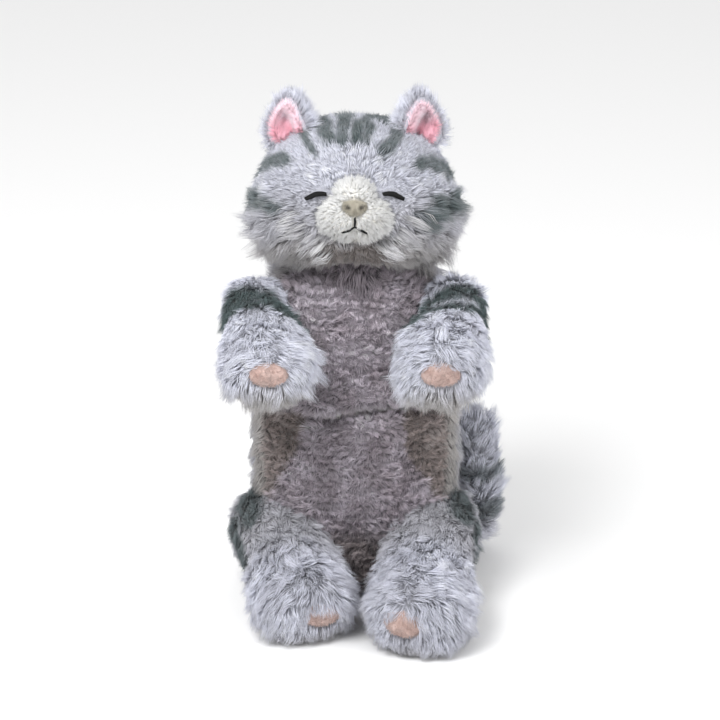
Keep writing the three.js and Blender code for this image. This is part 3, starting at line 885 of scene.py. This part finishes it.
# ---- arm, leg and tail fur
# The pile hangs over the upper part of each pad, so its bare part is lower and smaller than the pad.
PAD_WIDE, PAD_HIGH, PAD_LOW = 0.92, 0.70, 0.30
PAD_DEEP_REACH = 0.014  # pile further back than this from a pad belongs to the limb
PADS = {}
for kind, side in LIMBS:
    low, high = box_of(f"{kind}_pad_{side}")
    PADS[f"{kind}_{side}"] = ((low + high) / 2, (high - low) / 2)


def pad_reach(p, key):
    """Distance from the bare part of a pad in its widths."""
    at, half = PADS[key]
    across = (p[:, 0] - at[0]) / (PAD_WIDE * half[0])
    up = (p[:, 2] - at[2] + PAD_LOW * half[2]) / (PAD_HIGH * half[2])
    return np.where(p[:, 1] < at[1] + PAD_DEEP_REACH, np.hypot(across, up), 9.0)


# How the pile differs between arms and legs. tip is where a limb's end starts and is full; forward,
# spread and fall say how the comb turns there. length is the length at the root and what is added
# over the stretch in longer.
LIMB_FUR = dict(
    arm=dict(joint="arm_lift", coat=arm_coat, seed=120, bare=0.9, run=(1, 1, 1), tip=(0.045, 0.070),
             forward=0.7, spread=(0.25, 0.6), fall=(0.25, 0.5), length=(9.0, 3.5), longer=(28, 48)),
    leg=dict(joint="leg_splay", coat=leg_coat, seed=130, bare=0.8, run=(1, 1, 0), tip=(0.060, 0.088),
             forward=0.75, spread=(0.15, 0.45), fall=(0.25, 0.75), length=(7.5, 6.0), longer=(34, 62)),
)


def limb_fur(kind, side):
    key, look = f"{kind}_{side}", LIMB_FUR[kind]
    at = pivot(f"{look['joint']}_{side}")
    way = unit((PADS[key][0] - at) * look["run"])

    def keep(p, n):
        return (pad_reach(p, key) > look["bare"]) * smooth(0.0015, 0.005, p[:, 2])

    def comb(p, n):
        """Along the limb, then outward and down at its tip."""
        out = unit(flat_on(p - at, np.tile(way, (len(p), 1))))
        tip = smooth(*look["tip"], (p - at) @ way)[:, None]
        (spread, spread_tip), (fall, fall_tip) = look["spread"], look["fall"]
        ahead = way * (1 - look["forward"] * tip)
        return ahead + out * (spread + spread_tip * tip) - UP * (fall + fall_tip * tip)

    def length(p, n):
        root, more = look["length"]
        size = root + more * smooth(*look["longer"], ((p - at) @ way) / MM)
        return size * MM * (0.62 + 0.38 * smooth(0.8, 1.8, pad_reach(p, key)))

    grow(f"{kind}_fur_{side}", limbs[key], key, "lavender_pile", density=FUR_DENSITY,
         seed=look["seed"] + dict(SIDES)[side], keep=keep, comb=comb, length=length, width=FINE,
         lean=1.0, coat=lambda p, n: look["coat"](p, side), blockers=("torso",), **TUFTS)


for limb in LIMBS:
    limb_fur(*limb)


def tail_keep(p, n):
    return smooth(0.001, 0.005, p[:, 2])


def tail_comb(p, n):
    """Sideways along the floor, then up along the free end."""
    up = smooth(0.018, 0.030, p[:, 2])[:, None]
    return np.array([1.0, 0.0, 0.0]) * (1 - up) + UP * up


grow("tail_fur", tail, "tail", "grey_pile", density=FUR_DENSITY, seed=140, keep=tail_keep,
     comb=tail_comb, length=0.0105, width=FINE, lean=0.85, coat=tail_coat, blockers=("torso",), **TUFTS)


# ---- body and neck fur
def off_seat(p):
    return smooth(0.003, 0.008, p[:, 2])


def brushed_rows(p):
    """Wavy cross rows left by brushing, from -1 to 1."""
    return np.sin(p[:, 2] / 0.00105 + 3.0 * ripple(p, 0.012, 80) + 1.6 * ripple(p, 0.005, 82))


# The brushed rows are painted lighter and darker in turn: painted highlight and painted shade along the
# nap.
def belly_coat(p, n):
    return torso_coat(p) * (1 + 0.22 * brushed_rows(p))[:, None]


def belly_length(p, n):
    return 0.0060 * (1 + 0.25 * brushed_rows(p)) * (1 - 0.65 * groove(p))


def belly_comb(p, n):
    return np.column_stack([0.8 * ripple(p, 0.014, 81), np.zeros(len(p)), 0.9 * brushed_rows(p) - 0.3])


grow("back_fur", torso, "body", "grey_pile", density=0.8, seed=150, comb=down,
     keep=lambda p, n: (1 - belly_share(p)) * off_seat(p), length=0.0095, width=0.0006, lean=0.95,
     coat=torso_coat, blockers=(*limbs, "head"), **TUFTS)
grow("belly_fur", torso, "body", "belly_pile", density=3.6, seed=160, comb=belly_comb,
     keep=lambda p, n: belly_share(p) * off_seat(p), length=belly_length, width=0.00042, lean=0.75,
     coat=belly_coat, mat=SHORT, blockers=limbs, segments=1, clump=0.7,
     clump_size=13, lock=0.14, root_dark=0.24, tip_light=1.38, stretch=(0.7, 1.0, 1.8))

NECK_BAND = (0.197, 0.222)  # heights between which the neck carries pile
neck = settle(cad_copy("neck_cloth", "neck_filling"), 0.003, 3, 0.0012)


def neck_coat(p, n=None):
    """Grey behind, belly colour in front, painted darker there as shade under the head."""
    nod_y = pivot("head_nod")[1]
    grey = mix(GREY, UNDER_GREY, 0.5 + 0.4 * ripple(p, 0.01, 77))
    return mix(grey, BELLY * 0.8, smooth(nod_y + 0.004, nod_y - 0.008, p[:, 1]))


def neck_keep(p, n):
    return (p[:, 2] > NECK_BAND[0]) & (p[:, 2] < NECK_BAND[1])


# The neck cloth is also painted darker by UNDER: painted shade deep in the pile.
dress(neck, "neck", SKIN, ["neck_filling"], neck_coat(coords(neck)) * UNDER)
grow("neck_fur", neck, "neck", "lavender_pile", density=1.2, seed=155, keep=neck_keep, comb=down,
     length=0.0095, width=0.0005, lean=0.45, coat=neck_coat, **TUFTS)


# ---- muzzle and mouth
def cleft(p, n):
    """The muzzle is drawn in along its middle, under the nose."""
    h = in_head(p)
    return -0.0018 * bell(h[:, 0] / 2.0) * smooth(-15, -20, h[:, 2]) * smooth(-10, -20, h[:, 1])


muzzle = settle(cad_copy("muzzle_cloth", "muzzle"), 0.0014, 8)
swell(muzzle, cleft)
# The muzzle cloth is painted darker than its pile: painted shade deep in the pile.
muzzle_under = np.tile(CREAM_SHADE * 0.85, (len(muzzle.data.vertices), 1))
dress(muzzle, "head", SKIN, ["muzzle"], muzzle_under)
TREES["muzzle"] = tree_of(muzzle)


def on_muzzle(across, height, lift=0.0018):
    """Point on the muzzle seen from the front, at head millimetres, lifted off it."""
    start = HEAD_ORIGIN + head_way([across * MM, -0.12, height * MM])
    hit, nor, _, _ = TREES["muzzle"].ray_cast(Vector(start), Vector(head_way([0.0, 1.0, 0.0])))
    return np.array(hit) + np.array(nor) * lift


mouth_points = in_head(cad_points("mouth_stitching"))
MOUTH_TOP, MOUTH_LOW = mouth_points[:, 2].max(), mouth_points[:, 2].min()
MOUTH_HALF = np.abs(mouth_points[:, 0]).max()
MOUTH_FORK = MOUTH_TOP - 0.58 * (MOUTH_TOP - MOUTH_LOW)
MOUTH_PATHS = (
    [(0, MOUTH_TOP + 0.3), (0.2, (MOUTH_TOP + MOUTH_FORK) / 2), (0, MOUTH_FORK)],
    [(0, MOUTH_FORK), (-MOUTH_HALF * 0.5, MOUTH_FORK - 1.9), (-MOUTH_HALF, MOUTH_LOW + 0.4)],
    [(0, MOUTH_FORK), (MOUTH_HALF * 0.5, MOUTH_FORK - 1.7), (MOUTH_HALF, MOUTH_LOW)],
)
MOUTH_LINES = [np.array([on_muzzle(x, z) for x, z in path]) for path in MOUTH_PATHS]


def muzzle_coat(p, n):
    h = in_head(p)
    # The muzzle is painted a little darker along its lower edge and down its middle cleft (painted
    # shade under the muzzle and in the cleft), and varies at random elsewhere.
    shade = 0.05 + 0.3 * ripple(p, 0.007, 91) + smooth(-24, -31, h[:, 2]) * 0.6
    return mix(CREAM, CREAM_SHADE, shade + bell(h[:, 0] / 1.5) * 0.3)


def muzzle_keep(p, n):
    h = in_head(p)
    nose_place = np.hypot(h[:, 0] / 5.6, (h[:, 2] - NOSE_AT[2] + 1.5) / 4.4) < 1
    mouth = np.min([gap_to_line(p, line) for line in MOUTH_LINES], axis=0) < EYE_CLEAR
    return np.where(nose_place | mouth, 0.0, 1.0)


def muzzle_comb(p, n):
    h = in_head(p)
    return head_way(np.column_stack([h[:, 0], np.zeros(len(p)), h[:, 2] - NOSE_AT[2] - 1]))


grow("muzzle_fur", muzzle, "head", "cream_pile", density=4.6, seed=170, keep=muzzle_keep,
     comb=muzzle_comb, length=0.0043, width=0.00044, lean=0.75, coat=muzzle_coat, mat=SHORT, segments=1,
     clump=0.6, clump_size=11, lock=0.25, root_dark=0.62, tip_light=1.1)

# ---- nose
NOSE_DROP = 1.6  # the nose sits this much lower than in the CAD, in millimetres
NOSTRIL_X, NOSTRIL_Z = 4.0, -0.6
NOSTRIL_WIDE, NOSTRIL_HIGH = 1.5, 1.3


def nostrils(q):
    """1 in the middle of each nostril; q is in millimetres from the middle of the nose."""
    up = ((q[:, 2] - NOSTRIL_Z) / NOSTRIL_HIGH) ** 2
    return sum(np.exp(-(((q[:, 0] - x) / NOSTRIL_WIDE) ** 2) - up) for x in (-NOSTRIL_X, NOSTRIL_X))


nose = settle(cad_copy("nose_velvet", "nose"), 0.0007, 6)
v, n = coords(nose), normals(nose)
q = in_head(v) - NOSE_AT
spread = 0.10 * smooth(0.5, 3.5, q[:, 2]) - 0.28 * smooth(0.0, -5.0, q[:, 2])
lower = -NOSE_DROP - 0.7 * smooth(2.5, 5.5, q[:, 2])
shift = np.column_stack([q[:, 0] * spread, np.zeros(len(v)), lower])
dent = nostrils(q)
crease = bell(q[:, 0] / 0.8) * smooth(0.5, -4, q[:, 2])
inward = (dent * 1.9 + crease * 0.8) * smooth(0.5, -1.0, q[:, 1])
set_coords(nose, v + head_way(shift) * MM - n * inward[:, None] * MM)
# The nostrils and the crease below the nose are painted dark: painted shade in the dents.
nose_under = mix(NOSE, NOSE * 0.35, dent * 1.1 + crease * 0.5)
dress(nose, "head", SHORT, ["nose"], nose_under)


def nose_keep(p, n):
    return (n @ head_way([0, 1, 0]) < 0.2).astype(float)


def nose_coat(p, n):
    # The nostrils are painted dark: painted shade in the dents.
    return mix(NOSE * 1.05, NOSE * 0.3, nostrils(in_head(p) - NOSE_AT) * 1.2)


grow("nose_fuzz", nose, "head", "nose_plush", density=14.0, seed=175, keep=nose_keep, comb=down,
     length=0.0014, width=0.00020, lean=0.7, coat=nose_coat, mat=SHORT, segments=1, clump=0.3,
     root_dark=0.7, tip_light=1.08)

# ---- stitching
STITCHES = 60  # threads side by side along a line
EYE_STITCH = dict(width=0.00145, thread=0.00018, lift=0.0018)
MOUTH_STITCH = dict(width=0.00062, thread=0.00016, lift=0.0004)


def tube(points, radius, sides):
    """Closed round thread along points."""
    radius = np.broadcast_to(radius, len(points))
    ahead = unit(np.gradient(points, axis=0))
    side = unit(np.cross(ahead, UP + 1e-3))
    other = np.cross(ahead, side)
    turn = 2 * math.pi * np.arange(sides) / sides
    ring = side[:, None] * np.cos(turn)[None, :, None] + other[:, None] * np.sin(turn)[None, :, None]
    v = (points[:, None] + ring * radius[:, None, None]).reshape(-1, 3)
    f = []
    for k in range(len(points) - 1):
        for j in range(sides):
            a, b = k * sides + j, k * sides + (j + 1) % sides
            f += [(a, b + sides, b), (a, a + sides, b + sides)]
    first, last = len(v), len(v) + 1
    v = np.vstack([v, points[0], points[-1]])
    end = (len(points) - 1) * sides
    for j in range(sides):
        f += [(first, j, (j + 1) % sides), (last, end + (j + 1) % sides, end + j)]
    return v, np.array(f)


def join(parts):
    """Several meshes as one."""
    starts = np.cumsum([0] + [len(v) for v, _ in parts[:-1]])
    return np.vstack([v for v, _ in parts]), np.vstack([f + k for (_, f), k in zip(parts, starts)])


def resample(line, count):
    """Smooth points along a broken line."""
    d = np.concatenate([[0], np.cumsum(np.linalg.norm(np.diff(line, axis=0), axis=1))])
    t = np.linspace(0, d[-1], count)
    out = np.column_stack([np.interp(t, d, line[:, k]) for k in range(3)])
    for _ in range(2):
        out[1:-1] = (out[:-2] + 2 * out[1:-1] + out[2:]) / 4
    return out


def satin(line, width, thread, lift):
    """Satin stitch: threads laid side by side across a line, over a raised core."""
    path = resample(line, STITCHES)
    out = head_way([0.0, -1.0, 0.0])
    along = unit(np.gradient(path, axis=0))
    across = unit(np.cross(along, out))
    half = width * (0.62 + 0.38 * np.sin(np.linspace(0.12, math.pi - 0.12, STITCHES)))
    parts = [tube(path + out * lift * 0.6, half * 0.62, 8)]
    steps = np.linspace(-1, 1, 7)
    crown = 0.75 * np.sqrt(np.clip(1 - (steps * 0.93) ** 2, 0, 1))
    for i in range(STITCHES):
        bow = path[i] + across[i] * (steps * half[i])[:, None] + along[i] * (steps * 0.0003)[:, None]
        parts.append(tube(bow + out * (lift + half[i] * crown - 0.0003)[:, None], thread, 5))
    return join(parts)


def thread_object(name, geometry, node):
    obj = add_object(name, *geometry)
    dress(obj, "head", THREADS, [node])


for side, _ in SIDES:
    thread_object(f"eye_satin_{side}", satin(EYES[side][1:], **EYE_STITCH), f"eye_{side}")
mouth = join([satin(line, **MOUTH_STITCH) for line in MOUTH_LINES])
thread_object("mouth_stitch", mouth, "mouth_stitching")

# ---- ears
EAR_BASE_WIDER, EAR_TIP_NARROWER = 0.14, 0.52


def ear(side, sign):
    low, high = box_of(f"ear_outer_{side}")
    ear_at = (low + high) / 2
    opening = unit(head_way([sign * 0.41, -0.91, 0.0]))

    def radial(p):
        """Away from the axis of the cup."""
        d = p - ear_at
        return unit(d - (d @ opening)[:, None] * opening)

    def pinch(obj):
        """Narrows an ear toward its tip and widens its base."""
        v = coords(obj)
        across = unit(np.cross(opening, UP))
        wider = EAR_BASE_WIDER - EAR_TIP_NARROWER * smooth(low[2], high[2], v[:, 2])
        set_coords(obj, v + across * (((v - ear_at) @ across) * wider)[:, None])

    def outer_keep(p, n):
        return (((n * radial(p)).sum(1) > 0.0) & (n @ opening < 0.85)).astype(float)

    def outer_comb(p, n):
        return radial(p) * 0.6 + UP * 0.4 - opening * 0.2

    def outer_coat(p, n):
        return mix(LAVENDER, LAVENDER_SHADE, 0.35 + 0.4 * ripple(p, 0.008, 301))

    def outer_length(p, n):
        """Longer on the side toward the middle of the head."""
        return (9.0 + 2.5 * smooth(0.004, -0.010, sign * (p - ear_at)[:, 0])) * MM

    def lining_coat(p, n=None):
        """Deeper pink down inside the cup."""
        deep = smooth(-0.001, -0.009, (p - ear_at) @ opening) * 0.6
        deep = deep + smooth(0.004, -0.008, (p - ear_at)[:, 2]) * 0.5
        return mix(PINK, PINK_DEEP, deep + 0.15 * ripple(p, 0.006, 311))

    def lining_comb(p, n):
        return np.tile(UP + np.array([-sign * 0.3, 0.0, 0.0]) + opening * 0.4, (len(p), 1))

    outer = settle(cad_copy(f"ear_cloth_{side}", f"ear_outer_{side}"), 0.0013, 6)
    pinch(outer)
    # The ear cloth is painted darker by UNDER: painted shade under the pile.
    cloth = np.tile(mix(LAVENDER, LAVENDER_SHADE, 0.5), (len(outer.data.vertices), 1)) * UNDER
    dress(outer, "head", SKIN, [f"ear_outer_{side}"], colours=cloth)
    grow(f"ear_fur_{side}", outer, "head", "lavender_pile", density=3.2, seed=300 + sign,
         keep=outer_keep, comb=outer_comb, length=outer_length, width=0.00038, lean=0.85,
         coat=outer_coat, blockers=("head",), clump=0.6, clump_size=16, lock=0.14, stray=0.1,
         root_dark=0.75, tip_light=1.1)

    lining = settle(cad_copy(f"ear_plush_{side}", f"ear_lining_{side}"), 0.0011, 5)
    pinch(lining)
    # The lining cloth is painted darker than its pile: painted shade deep in the pile.
    dress(lining, "head", SHORT, [f"ear_lining_{side}"],
          colours=lining_coat(coords(lining)) * 0.8)
    grow(f"ear_pile_{side}", lining, "head", "pink_lining", density=12.0, seed=310 + sign,
         comb=lining_comb, length=0.0050, width=0.00032, lean=0.6, coat=lining_coat, mat=SHORT,
         blockers=("head",), segments=1, clump=0.3, clump_size=9, root_dark=0.88, tip_light=1.08)


for side, sign in SIDES:
    ear(side, sign)

# ---- pads
PAD_RINGS, PAD_AROUND = 9, 36
PAD_EDGE, PAD_CROWN = 0.0004, 0.0018  # how far a pad stands off at its edge, and what its middle adds
PAD_SUNK = 0.0006


def grid_faces(rings, around):
    """Two triangles for each cell between neighbouring rings."""
    faces = []
    for k in range(rings - 1):
        for j in range(around):
            a, b = k * around + j, k * around + (j + 1) % around
            faces += [(a, a + around, b + around), (a, b + around, b)]
    return np.array(faces)


def pad_mesh(key):
    """A cushion laid on the limb where its pad is bare."""
    at, half = PADS[key]
    top, bottom = [], []
    for share in np.arange(PAD_RINGS) / (PAD_RINGS - 1):
        for turn in 2 * math.pi * np.arange(PAD_AROUND) / PAD_AROUND:
            x = at[0] + half[0] * share * math.cos(turn) * PAD_WIDE
            z = at[2] + half[2] * (share * math.sin(turn) * PAD_HIGH - PAD_LOW)
            hit, nor, _, _ = TREES[key].ray_cast(Vector((x, at[1] - 0.05, z)), Vector((0, 1, 0)))
            if hit is None:
                hit, nor, _, _ = TREES[key].find_nearest(Vector((x, at[1], z)))
            hit, nor = np.array(hit), np.array(nor)
            top.append(hit + nor * (PAD_EDGE + PAD_CROWN * math.sqrt(1 - (share * 0.98) ** 2)))
            bottom.append(hit - nor * PAD_SUNK)
    count = len(top)
    faces = grid_faces(PAD_RINGS, PAD_AROUND)
    last = count - PAD_AROUND
    rim = []
    for j in range(PAD_AROUND):
        a, b = last + j, last + (j + 1) % PAD_AROUND
        rim += [(a, a + count, b + count), (a, b + count, b)]
    return np.array(top + bottom), np.vstack([faces, faces[:, ::-1] + count, rim])


def pad_coat(p, n=None):
    return mix(PAD, PAD_DEEP, 0.4 + 0.4 * ripple(p, 0.004, 321))


def pad_keep(p, n):
    return (n[:, 1] < 0.3).astype(float)


def pad_comb(p, n):
    return np.column_stack([ripple(p, 0.004, 331), np.zeros(len(p)), ripple(p, 0.004, 332) - 0.3])


for kind, side in LIMBS:
    key = f"{kind}_{side}"
    pad = settle(add_object(f"{kind}_pad_cloth_{side}", *pad_mesh(key)), 0.0008, 3)
    # The pad cloth is painted darker than its pile: painted shade deep in the pile.
    dress(pad, key, SHORT, [f"{kind}_pad_{side}"], pad_coat(coords(pad)) * 0.8)
    grow(f"{kind}_pad_pile_{side}", pad, key, "pad_cloth", density=5.0, seed=330, keep=pad_keep,
         comb=pad_comb, length=0.0018, width=0.0004, lean=0.8, coat=pad_coat, mat=SHORT, segments=1,
         clump=0.5, clump_size=8, root_dark=0.75, tip_light=1.06)

# ---- stage, light and camera
FLOOR_HALF = 12.0
FLOOR_GAP = 0.0004
FLOOR_WHITE = (0.93, 0.93, 0.93, 1)
corners = [(-FLOOR_HALF, -FLOOR_HALF, 0), (FLOOR_HALF, -FLOOR_HALF, 0),
           (FLOOR_HALF, FLOOR_HALF, 0), (-FLOOR_HALF, FLOOR_HALF, 0)]
floor_mesh = bpy.data.meshes.new("floor")
floor_mesh.from_pydata(corners, [], [(0, 1, 2, 3)])
floor = link("floor", floor_mesh)
floor.location.z = CAD_LOW[2] - FLOOR_GAP
paper = bpy.data.materials.new("paper")
paper.use_nodes = True
dial(paper.node_tree.nodes["Principled BSDF"], Base_Color=FLOOR_WHITE, Roughness=0.9)
floor_mesh.materials.append(paper)
floor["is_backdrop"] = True

WORLD_STRENGTH = 0.76
world = bpy.data.worlds.new("world")
bpy.context.scene.world = world
world.use_nodes = True
dial(world.node_tree.nodes["Background"], Color=(1, 1, 1, 1), Strength=WORLD_STRENGTH)


def area_light(name, place, target, size, power):
    data = bpy.data.lights.new(name, "AREA")
    data.energy = power
    data.size = size
    obj = link(name, data)
    obj.location = place
    obj.rotation_euler = (Vector(target) - Vector(place)).to_track_quat("-Z", "Y").to_euler()


middle = (CAD_LOW + CAD_HIGH) / 2
area_light("key", place=(-0.5, -0.9, 1.3), target=middle, size=0.7, power=20)
area_light("fill", place=(0.9, -0.9, 0.7), target=middle, size=1.0, power=6)

VIEW_ELEVATION = math.radians(21)
VIEW_DISTANCE = 2.2
VIEW_WIDTH = 0.418
SENSOR = 36
aim = Vector((0.003, middle[1] - 0.012, middle[2] + 0.003))
toward_viewer = Vector((0, -math.cos(VIEW_ELEVATION), math.sin(VIEW_ELEVATION)))
camera_data = bpy.data.cameras.new("camera")
camera_data.sensor_width = SENSOR
camera_data.lens = SENSOR * VIEW_DISTANCE / VIEW_WIDTH
camera = link("camera", camera_data)
camera.location = aim + toward_viewer * VIEW_DISTANCE
camera.rotation_mode = "QUATERNION"
camera.rotation_quaternion = (-toward_viewer).to_track_quat("-Z", "Y")
bpy.context.scene.camera = camera
bpy.context.scene.view_settings.view_transform = "Standard"

low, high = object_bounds()
